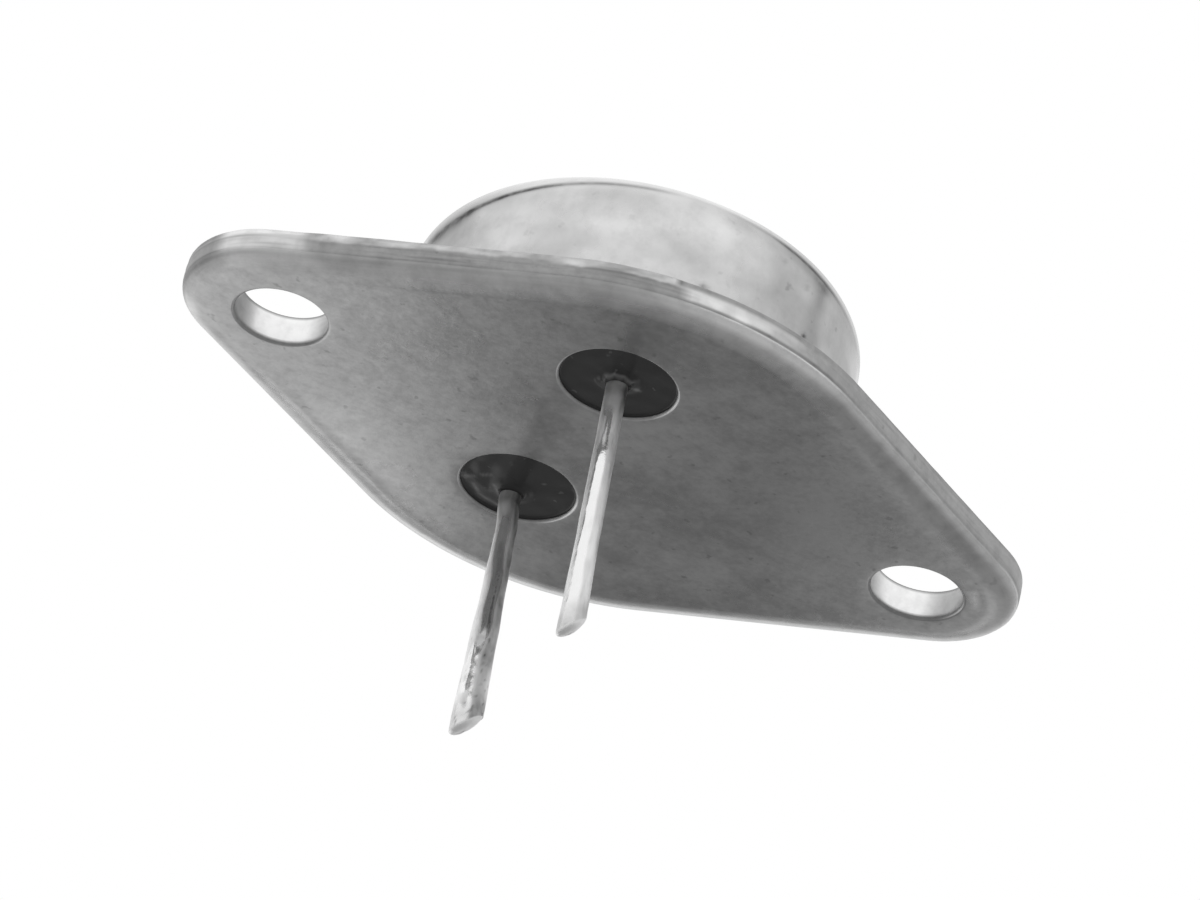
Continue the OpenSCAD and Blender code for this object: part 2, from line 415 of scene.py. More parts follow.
def edge_relief(spot):
    """How far the edge stands out, in mm: drag streaks, the torn upper part, the burr and the crease."""
    z, along = spot.z, spot.along
    relief = step(z, 0.3, 0.65) * (0.016 * spot.streak * (1 - 0.7 * spot.creased) + 0.008 * spot.lumps)
    torn_z = 1.1 + 0.12 * ripple(0.5 * along, seed=4)
    relief -= 0.02 * step(z, torn_z, torn_z + 0.15) * (1 - spot.bright) * (1 - spot.burr)
    relief += spot.burr_top * (0.03 + 0.03 * ripple(0.9 * along, seed=5))
    crease = bell(z, 0.42, 0.07) - bell(z, 0.56, 0.05)
    relief += 0.015 * spot.creased * (1 + 1.5 * ripple(2.2 * along, seed=19)) * crease
    return relief + 0.03 * spot.bright * bell(z, 0.85, 0.25)


def roll_rub_and_painted_highlight(spot):
    """Lightening of the rolled border, partly rub and partly painted highlight, which grows towards the wall
    and is weaker at both ends.
    """
    bearing, z = spot.bearing, spot.z
    # Lightening of the roll: partly rub, partly painted highlight
    shine = 0.2 * step(z, 0.003, 0.03) + 0.15 * step(z, 0.03, 0.12) + 0.15 * step(z, 0.12, 0.3)
    shine *= 1 - 0.8 * step(abs(bearing), *DULL_END_START) * fade(z, 0.05, 0.2)
    shine *= 1 - 0.8 * step(abs(bearing), *DULL_TIP_START)
    shine *= 1 - 0.55 * spot.soft_end * fade(z, 0.2, 0.35)
    shine *= fade(z, 0.44 - 0.06 * spot.soft_end, 0.55 - 0.05 * spot.soft_end)
    shine *= 1 + 0.06 * spot.lumps + 0.25 * spot.streak * (1 - 0.6 * spot.creased)
    shine *= 1 + 0.8 * within(bearing, BRIGHT_ROLL, 6) * step(z, 0.1, 0.3)
    shine += 0.12 * bell(z, 0.3, 0.08) * spot.creased * (1 + ripple(1.7 * spot.along, seed=26))
    shine += 0.13 * bell(z, 0.4, 0.09) * spot.soft_end
    rear_rub = 0.26 * bell(bearing, *REAR_RUB_PEAK) + 0.06 * within(bearing, REAR_ROLL_RUB, 10)
    shine += rear_rub * plateau(z, (0.0, 0.02), (0.15, 0.32))
    # Painted highlight on the roll's left end
    return shine + 0.2 * within(bearing, LEFT_ROLL_HIGHLIGHT, 2) * plateau(z, (0.05, 0.2), (0.4, 0.5))


def wall_shine_and_painted_highlight(spot):
    """Shine of the edge's wall: a painted highlight on the left end, glints on the burr and a painted
    highlight on the front stretch.
    """
    z, along = spot.z, spot.along
    shine = 0.1 * step(z, 0.5, 0.62)
    patch = 0.5 + 0.5 * ripple(0.7 * along, 2.5 * z, seed=6)
    # Painted highlight on the left end's wall
    shine += spot.left * step(z, 0.3, 0.6) * (0.22 + 0.4 * patch + 0.25 * step(z, 0.9, 1.3))
    glints = 0.3 * ripple(0.9 * along, 3 * z, seed=7) + 0.2 * ripple(3 * along, 5 * z, seed=18)
    shine += spot.burr_top * (0.24 + glints)
    # Painted highlight on the front stretch of the wall
    painted_highlight = spot.bright * (1 - 0.75 * step(spot.bearing, FRONT_HIGHLIGHT[0] + 3, FRONT_HIGHLIGHT[1]))
    return shine + painted_highlight * plateau(z, (0.5, 0.68), (1.05, 1.3)) * (0.62 + 0.3 * spot.lumps)


def edge_darkening(spot):
    """Darkening of the edge: in the crease, in the nick, along the right end's upper edge and in streaks."""
    z, along = spot.z, spot.along
    crease_z = 0.57 + 0.04 * ripple(1.9 * along, seed=31)
    crease = bell(z, crease_z, 0.07) * (1 + 1.7 * ripple(1.4 * along, seed=27))
    grime = 0.35 * spot.creased * (1 - spot.soft_end) * crease
    grime += 0.6 * bell(spot.bearing, NICK, 0.7) * step(z, 1.05, 1.3)
    grime += 0.3 * step(spot.bearing, *TOP_DARKENING_START) * spot.front * step(z, 1.32, 1.42)
    streaks = step(z, 0.05, 0.4) * max(0.0, spot.streak - 0.12)
    return grime + 0.5 * streaks * (1 - 0.8 * spot.creased) * (1 - spot.burr_top)


def edge_state(x, y, z, along):
    """Outward relief in mm, shine with painted highlights, and darkening of the flange's edge at a point of
    it.
    """
    spot = EdgeSpot(x, y, z, along)
    below_top = fade(z, FLANGE_T - 0.03, FLANGE_T)
    shine = roll_rub_and_painted_highlight(spot) + wall_shine_and_painted_highlight(spot)
    return edge_relief(spot), shine * below_top, edge_darkening(spot) * below_top


def seating_state(x, y):
    """Height of the seating face, which is faintly uneven as stamped sheet is, with its lighter patches, and
    its smudges, darkening and painted reflections of the leads.
    """
    # Smudges and darkening, and the leads' painted reflections
    grime = spots_at(x, y, SMUDGES) + strokes_at(Vector((x, y)), LEAD_REFLECTIONS)
    return 0.004 * ripple(0.35 * x, 0.35 * y, seed=8), spots_at(x, y, RUB_AND_LIGHTER_PATCHES), grime


def top_state(x, y):
    """The flange's upper face, flat and faintly dirty."""
    return FLANGE_T, 0.0, 0.12 * max(0.0, ripple(0.8 * x, 0.8 * y, seed=10))


def punched_hole(skin, centre, radius, mouth_r, mouth_depth, count, state):
    """Rings of a hole's wall from the seating face up; returns the lowest and the highest.

    The mouth is rounded over a width and a depth; the state gives outward relief, shine with painted
    highlight, and grime for an angle and a height.
    """
    mouth = arc(radius + mouth_r, mouth_r, mouth_r, 270, 180, 7)
    section = [(r, z * mouth_depth / mouth_r) for r, z in mouth]
    section += line((radius, mouth_depth), (radius, FLANGE_T - HOLE_LIP), 10)[1:]
    section += arc(radius + HOLE_LIP, FLANGE_T - HOLE_LIP, HOLE_LIP, 180, 90, 3)[1:]
    rings = []
    for r, z in section:
        drag = HOLE_DRAG * step(z, 0.0, mouth_depth)
        ring = []
        for a in round_angles(count):
            relief, shine, grime = state(a, z)
            x = centre[0] + (r + relief) * cos(a)
            y = centre[1] + (r + relief) * sin(a)
            ring.append(skin.add((x, y, z), (radius * a, z, 1.0), shine, grime, drag))
        rings.append(ring)
    skin.bands(rings, flip=True)
    return rings[0], rings[-1]


def mounting_hole_state(a, z):
    """A mounting hole's wall: axial drag marks, a painted highlight on one side, dull at its upper edge."""
    marks = ripple(7 * cos(a), 7 * sin(a), 0.5 * z, seed=9)
    on_wall = step(z, 0.1, 0.3)
    relief = 0.01 * on_wall * fade(z, FLANGE_T - 0.1, FLANGE_T) * marks
    bright_side, spread = HOLE_HIGHLIGHT_SIDE
    # Painted highlight on one side of the wall
    painted_highlight = 0.2 + 1.35 * bell(turned(degrees(a), bright_side), 0, spread)
    shine = painted_highlight * on_wall * fade(z, FLANGE_T - 0.13, FLANGE_T - 0.03)
    shine += 0.08 * (1 - on_wall) * step(z, 0, 0.01)
    grime = 0.08 * max(0.0, marks) * on_wall + 0.35 * step(z, FLANGE_T - 0.09, FLANGE_T - 0.02)
    return relief, shine, grime


def seal_hole_state(_, z):
    """The seal's hole shows only its rounded mouth, lightest where it leaves the seating face."""
    return 0.0, 0.16 * plateau(z, (0.0, 0.01), (0.1, SEAL_MOUTH_R)), 0.0


def make_header(material):
    skin = Skin("header_skin")
    columns = header_columns(EDGE_SPACING)
    rings = []
    for inset, z in flange_section():
        ring = []
        for centre_x, radius, angle, along in columns:
            x = centre_x + (radius - inset) * cos(angle)
            y = (radius - inset) * sin(angle)
            relief, shine, grime = edge_state(x, y, z, along)
            relief *= fade(inset, 0.02, 0.2)
            ring.append(skin.add((x + relief * cos(angle), y + relief * sin(angle), z),
                                 (along, z - inset, 0.0), shine, grime, step(z, 0.02, 0.35)))
        rings.append(ring)
    skin.bands(rings)
    mounting_hole = (HOLE_R, HOLE_MOUTH_R, HOLE_MOUTH_DEPTH, MOUNTING_HOLE_POINTS, mounting_hole_state)
    seal_hole = (SEAL_R, SEAL_MOUTH_R, SEAL_MOUTH_R, SEAL_HOLE_POINTS, seal_hole_state)
    holes = [((side * HOLE_X, 0.0), *mounting_hole) for side in (-1, 1)]
    holes += [(seal_place(name), *seal_hole) for name in ("base_seal", "emitter_seal")]
    lower, upper = [], []
    for place, radius, mouth_r, *rest in holes:
        bottom, top = punched_hole(skin, place, radius, mouth_r, *rest)
        lower.append((bottom, place, radius + mouth_r))
        upper.append((top, place, radius + HOLE_LIP))
    skin.plate(rings[0], lower, seating_state, SEATING_SPACING, flip=True)
    skin.plate(rings[-1], upper, top_state, TOP_SPACING, flip=False)
    skin.build("header", material)


# ---- cap

# Line that the drawing die leaves where the wall turns into the shoulder: it sinks away from its
# highest place, at a bearing in degrees, and runs level over the far side
DRAW_LINE_Z = 7.45
DRAW_LINE_PEAK = -100
DRAW_LINE_SINK = 1.82
DRAW_LINE_LEVEL_FROM = 72
# Stretches of the cap's wall, by bearing: the front painted lighter, the limb at its left, where the draw
# line is painted darker, and the far right painted lighter
LIT_FRONT = (-158, -80)
LEFT_LIMB = (-178, -132)
FAR_RIGHT = ((-46, -26), (0, 30))
# Painted shade under and over the draw line at the left
SHADE_UNDER_LINE = (-178, -160)
SHADE_OVER_LINE = (-178, -148)
# Bearings and spreads: where the draw line is crisp, where it is darker below the line, and a painted
# reflection streaking down the wall
CRISP_LINE = (-65, 15)
LINE_DARKENING = (-64, 11)
REFLECTION_STREAK = (-59.5, 2.9)
# Where the line is half as crisp
HALF_CRISP_LINE = (-131, -108)
# Pits in the cap's wall: bearing, height, radius and strength
CAP_PITS = ((-62.5, 3.8, 0.15, 0.8), (-93.5, 3.25, 0.2, 0.6), (-65, 6.0, 0.12, 0.35), (-74, 6.4, 0.15, 0.25),
            (-99.5, 2.7, 0.2, 0.4))


def cap_section():
    """The outside of the cap from its rim up to the top's middle, as (radius, height)."""
    rim_top = FLANGE_T + SHEET_T
    section = line((RIM_R, FLANGE_T), (RIM_R, rim_top - RIM_EDGE_R), 4)
    section += arc(RIM_R - RIM_EDGE_R, rim_top - RIM_EDGE_R, RIM_EDGE_R, 0, 90, 4)[1:]
    section += line((RIM_R - RIM_EDGE_R, rim_top), (CAP_R + RIM_BEND_R, rim_top), 3)[1:]
    section += arc(CAP_R + RIM_BEND_R, WALL_LOW, RIM_BEND_R, 270, 180, 6)[1:]
    section += line((CAP_R, WALL_LOW), (CAP_R, WALL_HIGH), 26)[1:]
    section += arc(CAP_R - SHOULDER_R, WALL_HIGH, SHOULDER_R, 0, 90, 30)[1:]
    section += line((CAP_R - SHOULDER_R, CAP_TOP), (0.6, CAP_TOP), 12)[1:]
    return section


def cap_inside():
    """The inside of the cap from the flange up to the flat of the top, as (radius, height)."""
    inner_r = CAP_R - SHEET_T
    bend_r = SHOULDER_R - SHEET_T
    section = line((inner_r, FLANGE_T), (inner_r, WALL_HIGH), 4)
    return section + arc(inner_r - bend_r, WALL_HIGH, bend_r, 0, 90, 8)[1:]


class CapSpot:
    """A spot on the outside of the cap: its place, and how far the stretches with painted light and shade
    reach it.
    """

    def __init__(self, angle, r, z):
        self.nx, self.ny = cos(angle), sin(angle)
        self.r, self.z = r, z
        self.bearing = degrees(atan2(self.ny, self.nx))
        self.wall = plateau(z, (WALL_LOW, WALL_LOW + 0.4), (WALL_HIGH + 0.2, WALL_HIGH + 0.8))
        away = min(abs(turned(self.bearing, DRAW_LINE_PEAK)), DRAW_LINE_LEVEL_FROM)
        self.line_z = DRAW_LINE_Z - DRAW_LINE_SINK * (1 - cos(radians(away)))
        self.above_line = step(z, self.line_z, self.line_z + 0.25)
        self.crisp = bell(self.bearing, *CRISP_LINE) + 0.5 * within(self.bearing, HALF_CRISP_LINE, 6)
        self.limb = within(self.bearing, LEFT_LIMB, 9)
        self.painted_lit = within(self.bearing, LIT_FRONT, 14)

    def ripple(self, across, upwards, seed):
        """Random value whose grain is as fine as it says round the cap and up it."""
        return ripple(across * self.nx, across * self.ny, upwards * self.z, seed=seed)


def cap_relief(spot):
    """How far the cap's side stands out, in mm: waves, the draw line and ragged weld flash at the rim."""
    relief = 0.012 * spot.ripple(3, 0.35, 11) * spot.wall
    relief -= (0.012 + 0.03 * spot.crisp + 0.02 * spot.limb) * bell(spot.z, spot.line_z, 0.08)
    flash = 0.07 * (0.4 + spot.ripple(30, 0, 12)) * bell(spot.z, FLANGE_T + 0.06, 0.09)
    return relief + flash * step(spot.r, CAP_R + 0.5, RIM_R - 0.05)


def cap_lift(x, y):
    """How far the cap's faintly uneven top stands up, in mm; its shoulder is even."""
    return 0.012 * ripple(0.5 * x, 0.5 * y, seed=13) * step(CAP_R - hypot(x, y), 1.5, 3)


def cap_clouds_and_painted_light(spot):
    """Shine of the wall, which is cloudy up to the draw line, and of the shoulder above it: the clouds are
    its own tone, while the lighter front, far right and shoulder are painted light.
    """
    clouds = spot.ripple(3, 0.6, 14) + 0.5 * spot.ripple(8, 1.3, 16)
    far_right = plateau(spot.bearing, *FAR_RIGHT)
    below_line = step(spot.z, WALL_LOW - 0.2, WALL_LOW + 0.4) * (1 - spot.above_line)
    # Painted light on the front and the far right
    shine = below_line * (0.42 * spot.painted_lit + 0.35 * far_right + 0.26 * clouds)
    shoulder = spot.above_line * fade(spot.z, CAP_TOP - 0.2, CAP_TOP - 0.02)
    # Painted light on the shoulder
    return shine + shoulder * (0.22 + 0.4 * spot.painted_lit)


def cap_marks_and_painted_shade(spot):
    """Darkening along the draw line, painted shade on it at the left limb and under and over it at the left,
    a painted reflection streaking down the wall, and the pits.
    """
    bearing, z = spot.bearing, spot.z
    # Darkening along the draw line; at the left limb it is painted shade
    dark = 0.05 + spot.crisp * (1.0 + 0.5 * spot.ripple(6, 0, 28)) + 0.9 * spot.limb
    grime = dark * bell(z, spot.line_z, 0.13)
    grime += 0.38 * bell(bearing, *LINE_DARKENING) * bell(z, spot.line_z - 0.25, 0.32)
    # Painted shade under and over the line at the left
    grime += 0.6 * within(bearing, SHADE_UNDER_LINE, 5) * bell(z, spot.line_z - 0.1, 0.38)
    grime += 0.25 * within(bearing, SHADE_OVER_LINE, 6) * bell(z, spot.line_z + 0.15, 0.4)
    # Painted reflection, a dark streak down the wall
    grime += 0.5 * bell(bearing, *REFLECTION_STREAK) * spot.wall * (0.8 + 0.5 * spot.ripple(5, 1, 29))
    for pit_bearing, pit_z, pit_r, strength in CAP_PITS:
        away = hypot(CAP_R * radians(bearing - pit_bearing), z - pit_z)
        grime += strength * bell(away, 0, pit_r)
    return grime


def make_cap(material):
    skin = Skin("cap_skin")
    rings = []
    for r, z in cap_section():
        ring = []
        for a in round_angles(CAP_POINTS):
            spot = CapSpot(a, r, z)
            radius = r + cap_relief(spot)
            point = (radius * spot.nx, radius * spot.ny, z + cap_lift(r * spot.nx, r * spot.ny))
            ring.append(skin.add(point, (CAP_R * a, z, 0.0), cap_clouds_and_painted_light(spot), cap_marks_and_painted_shade(spot), spot.wall))
        rings.append(ring)
    hollow = [skin.circle((0, 0), r, z, CAP_POINTS) for r, z in cap_inside()]
    skin.bands(rings)
    skin.fan(rings[-1], skin.add((0, 0, CAP_TOP + cap_lift(0, 0))))
    skin.bands(hollow, flip=True)
    skin.fan(hollow[-1], skin.add((0, 0, CAP_TOP - SHEET_T)), flip=True)
    skin.band(hollow[0], rings[0])
    skin.build("cap", material)


# ---- seals

# Scuffs and painted highlights on the glass: a path in mm about the lead, a width and a strength. The base's
# glass has a broken painted highlight round the lead's root and a chip beside it
BASE_SCUFFS_AND_HIGHLIGHTS = (
    (((-0.59, -0.08), (-0.4, -0.46), (0.02, -0.6), (0.45, -0.42)), 0.07, 0.36),
    (((0.8, 0.0), (0.95, 0.06)), 0.1, 0.35), (((-1.2, -1.46), (-1.17, -1.44)), 0.06, 0.15))
# The emitter's has two curved runs of painted highlights beside the lead, two short ones above them, and
# pinholes
EMITTER_SCUFFS_AND_HIGHLIGHTS = (
    (((-2.11, 0.4), (-1.76, 0.11)), 0.1, 0.24), (((-1.52, -0.21), (-1.21, -0.47)), 0.1, 0.24),
    (((-1.53, 0.67), (-1.03, 1.24), (-0.41, 1.4), (0.11, 1.5)), 0.1, 0.27),
    (((-0.78, 0.13), (-0.31, 0.57), (0.16, 0.87)), 0.1, 0.27),
    (((-0.92, -1.92), (-0.89, -1.92)), 0.06, 0.3), (((0.87, -1.47), (0.9, -1.47)), 0.06, 0.25))


def seal_section():
    """The glass from the lead outwards below, then up its side, as (radius, height).

    It creeps a little down the lead and down the hole's wall in a meniscus.
    """
    section = arc(LEAD_R + MENISCUS_R, GLASS_Z - MENISCUS_R, MENISCUS_R, 180, 90, 9)
    section += line((LEAD_R + MENISCUS_R, GLASS_Z), (SEAL_R - WALL_CREEP_R, GLASS_Z), 14)[1:]
    section += arc(SEAL_R - WALL_CREEP_R, GLASS_Z - WALL_CREEP_R, WALL_CREEP_R, 90, 0, 5)[1:]
    section += line((SEAL_R, GLASS_Z - WALL_CREEP_R), (SEAL_R, FLANGE_T), 3)[1:]
    return section


def glass_sag(nx, ny, r, seed):
    """Height of the glass's uneven lower face over a level one, in mm. It bulges down round the lead."""
    open_glass = plateau(r, (LEAD_R, LEAD_R + MENISCUS_R), (SEAL_R - 0.3, SEAL_R))
    sag = 0.025 * ripple(1.2 * r * nx, 1.2 * r * ny, seed=seed) * open_glass
    return sag - 0.05 * bell(r, LEAD_R + 0.25, 0.15) * (1 + ripple(1.2 * nx, 1.2 * ny, seed=seed + 1))


def make_seal(name, scuffs_and_highlights, seed, material):
    """One glass bead between its lead and its hole, which needn't share a middle."""
    skin = Skin(name + "_skin")
    lead_x, lead_y = pin_place(name.replace("seal", "pin"))
    hole_x, hole_y = seal_place(name)
    rings = []
    for r, z in seal_section():
        outward = step(r, LEAD_R + MENISCUS_R, SEAL_R)
        middle_x = lead_x + (hole_x - lead_x) * outward
        middle_y = lead_y + (hole_y - lead_y) * outward
        on_face = z < FLANGE_T - 0.5
        ring = []
        for a in round_angles(SEAL_POINTS):
            nx, ny = cos(a), sin(a)
            x, y = middle_x + r * nx, middle_y + r * ny
            sag, scuff_and_highlight = 0.0, 0.0
            if on_face:
                sag = glass_sag(nx, ny, r, seed)
                # Scuffs and painted highlights, as paler rougher marks
                scuff_and_highlight = strokes_at(Vector((x - lead_x, y - lead_y)), scuffs_and_highlights)
                scuff_and_highlight *= 0.85 + 0.4 * ripple(4 * r * nx, 4 * r * ny, seed=seed + 3)
            ring.append(skin.add((x, y, z + sag), (r * nx, r * ny, z), scuff_and_highlight))
        rings.append(ring)
    inner = skin.circle((lead_x, lead_y), LEAD_R, FLANGE_T, SEAL_POINTS)
    skin.bands(rings + [inner, rings[0]])
    skin.build(name, material)


# ---- leads

@dataclass
class Lead:
    """A lead's bend and wear. Places along it are shares of its length, counted from its head down."""
    pin: str
    seed: int
    sidestep: float    # its shift towards +X just below the glass, in mm
    lean: float        # its lean towards +X from there down, in degrees
    tinned: float      # radius that dipping in solder adds to its lower end, in mm
    drift: float       # how far its smooth stripe wanders round it on the way down, in degrees
    broken_to: float   # where the streaks that break the stripe near the glass end (-1: none)
    dull_from: float   # where dull patches start to break the stripe
    # The side right of the stripe is darkened as painted shade; root_shade paints it darker just below the
    # glass, and lighter where below zero
    side_shade: float        # how dark the side right of the stripe is
    root_shade: float  # how much darker that side is just below the glass


LEADS = {
    "base_lead": Lead(pin="base_pin", seed=40, sidestep=0.0, lean=2.7, tinned=0.0, drift=0,
                      broken_to=0.4, dull_from=1.0, side_shade=0.12, root_shade=0.4),
    "emitter_lead": Lead(pin="emitter_pin", seed=50, sidestep=0.14, lean=2.15, tinned=0.1, drift=20,
                         broken_to=-1.0, dull_from=0.64, side_shade=0.5, root_shade=-0.3),
}
# Depth below the seating face over which use has bent the leads
LEAN_BEND = 1.2
# Bearing of the side on which the leads' plating is smooth
SMOOTH_SIDE = -128


class LeadSpot:
    """A spot on a lead's side, a share of its length down, with the state of its plating there."""

    def __init__(self, lead, share, angle, z):
        self.lead, self.share, self.z = lead, share, z
        self.nx, self.ny = cos(angle), sin(angle)
        side = SMOOTH_SIDE + lead.drift * (step(share, 0.3, 0.55) - 1.3 * step(share, 0.66, 0.78))
        self.turn = turned(degrees(angle), side)
        self.outside = fade(z, -0.5, 0.3)
        self.dull = step(share, lead.dull_from, lead.dull_from + 0.12)
        self.solder = step(share, 0.6, 0.75) * step(self.ripple(1.8, 1.1, 6), -0.2, 0.3)
        self.smooth = self.smooth_stripe()

    def ripple(self, across, along, seed):
        """Random value whose grain is as fine as it says round the wire and along it."""
        return ripple(across * self.nx, across * self.ny, along * self.z, seed=self.lead.seed + seed)

    def smooth_stripe(self):
        """How much the spot belongs to the smooth stripe, which wanders and is broken in places."""
        wander = 12 * ripple(0.6 * self.z, seed=self.lead.seed + 8)
        smooth = fade(abs(self.turn + wander), 17, 36)
        smooth *= 1 - self.dull * step(self.ripple(2, 1.3, 9), 0.0, 0.4)
        end = self.lead.broken_to
        broken = plateau(self.share, (end - 0.12, end - 0.08), (end - 0.03, end + 0.02))
        smooth *= 1 - 0.9 * broken * step(self.ripple(4, 0.5, 12), -0.25, 0.1)
        return smooth * step(-self.z, 0.9, 1.9)


def lead_radius(spot):
    """Radius of the wire with its plating's lumps, drag marks and beads, thicker where it was dipped."""
    share = spot.share
    plating = 0.016 * spot.ripple(1.1, 0.9, 0) + 0.007 * spot.ripple(3.5, 0.5, 1)
    plating += 0.003 * spot.ripple(2.5, 3.5, 2) + 0.01 * spot.solder * spot.ripple(2, 2, 7)
    dipped = 0.3 * step(share, 0.35, 0.5) + 0.7 * step(share, 0.56, 0.7)
    plating += 0.07 * step(share, 0.72, 1.0) + spot.lead.tinned * dipped - 0.03 * fade(share, 0.3, 0.6)
    return LEAD_R - 0.008 + spot.outside * plating


def lead_grime_and_painted_shade(spot):
    """Darkening of the wire: painted shade on the side right of its stripe, on its upper part and at its
    root under the glass, dirt in patches and on dull patches, and its tip.
    """
    lead, share, turn = spot.lead, spot.share, spot.turn
    # Painted shade on the side right of the stripe
    shade_from = 54 - 22 * step(share, 0.3, 0.55)
    shaded_side = lead.side_shade * plateau(turn, (shade_from - 9, shade_from + 9), (95, 130))
    grime = shaded_side * (1 - 0.5 * step(share, 0.78, 0.88)) * (1 + 0.6 * spot.ripple(2, 1.5, 13))
    grime += 0.5 * lead.side_shade * spot.smooth * (1 - spot.dull)
    # Painted shade on the upper part and, by root_shade, just below the glass
    grime += 0.27 * fade(share, 0.24, 0.36) * spot.outside
    grime += lead.root_shade * plateau(turn, (55, 85), (130, 160)) * fade(-spot.z, 0.8, 1.5)
    # Painted shade at the root under the glass
    grime += 0.4 * fade(-spot.z, 0.35, 1.0 + 0.2 * spot.ripple(2, 0, 11))
    grime += 0.2 * step(spot.ripple(2, 0.8, 3), 0.1, 0.5) * spot.outside * (1 - spot.solder)
    grime += 0.5 * spot.dull * step(spot.ripple(3.5, 3.2, 10), 0.35, 0.6)
    return grime + 0.35 * step(share, 0.9, 0.98)


def crop_tip(skin, side_ring, centre, length, seed):
    """Rings of a lead's tip: the rounding that blunt cutters leave, then the slanted crop face."""
    cx, cy = centre
    slope = tan(radians(CROP_ANGLE))
    rings = []
    side = [skin.points[i] for i in side_ring]
    for row in range(1, LEAD_TIP_ROWS + 1):
        turn = radians(90 * row / LEAD_TIP_ROWS)
        shrink = 1 - CROP_ROUNDING * (1 - cos(turn)) / LEAD_R
        ring = []
        for a, (x, y, z) in zip(round_angles(LEAD_POINTS), side):
            px, py = cx + (x - cx) * shrink, cy + (y - cy) * shrink
            dent = 0.04 * ripple(1.6 * cos(a), 1.6 * sin(a), 2 * shrink, seed=seed + 4) * sin(turn)
            pz = slope * (px - cx) - length + CROP_ROUNDING * (1 - sin(turn)) + dent
            ring.append(skin.add((px, py, pz), (LEAD_R * a, z, 0.0), shine=0.5, grime=0.2))
        rings.append(ring)
    rim = [skin.points[i] for i in rings[-1]]
    for share in (0.75, 0.5, 0.25):
        ring = []
        for x, y, z in rim:
            px, py = cx + (x - cx) * share, cy + (y - cy) * share
            sunk = z + slope * (px - x) - 0.02 * (1 - share * share)
            ring.append(skin.add((px, py, sunk), (px, py, 2.0), grime=0.25))
        rings.append(ring)
    return rings


def bent(points, lead):
    """Points of a straight lead, shifted towards +X by their depth below the seating face."""
    shifted = []
    for x, y, z in points:
        depth = max(0.0, -z)
        bend = min(depth, LEAN_BEND)
        shift = tan(radians(lead.lean)) * (bend * bend / (2 * LEAN_BEND) + depth - bend)
        shifted.append((x + shift + lead.sidestep * step(depth, 0, 1.6 * LEAN_BEND), y, z))
    return shifted


def make_lead(name, lead, material):
    """A plated wire with a head inside the can and a cropped end below the glass."""
    skin = Skin(name + "_skin")
    centre = cx, cy = pin_place(lead.pin)
    low, high = box_mm(name)
    slope = tan(radians(CROP_ANGLE))
    length = -low.z - LEAD_R * slope + TIP_REACH
    body_top = high.z - LEAD_HEAD_T
    head = ((LEAD_HEAD_R, high.z - HEAD_BEVEL_H), (LEAD_HEAD_R, body_top + HEAD_BEVEL_H),
            (LEAD_HEAD_R - HEAD_BEVEL_W, body_top))
    rings = [skin.circle(centre, r, z, LEAD_POINTS) for r, z in head]
    for row in range(LEAD_ROWS + 1):
        share = row / LEAD_ROWS
        ring = []
        for a in round_angles(LEAD_POINTS):
            end = slope * LEAD_R * cos(a) - length + CROP_ROUNDING
            z = body_top + (end - body_top) * share
            spot = LeadSpot(lead, share, a, z)
            r = lead_radius(spot)
            ring.append(skin.add((cx + r * spot.nx, cy + r * spot.ny, z), (LEAD_R * a, z, 0.0),
                                 0.5 + 0.4 * spot.solder + 0.6 * spot.smooth, lead_grime_and_painted_shade(spot), spot.smooth))
        rings.append(ring)
    rings += crop_tip(skin, rings[-1], centre, length, lead.seed)
    skin.bands(rings, flip=True)
    skin.fan(rings[-1], skin.add((cx, cy, -length - 0.02), (cx, cy, 2.0), grime=0.25), flip=True)
    skin.fan(rings[0], skin.add((cx, cy, high.z)))
    skin.points = bent(skin.points, lead)
    skin.build(name, material, crease=60)


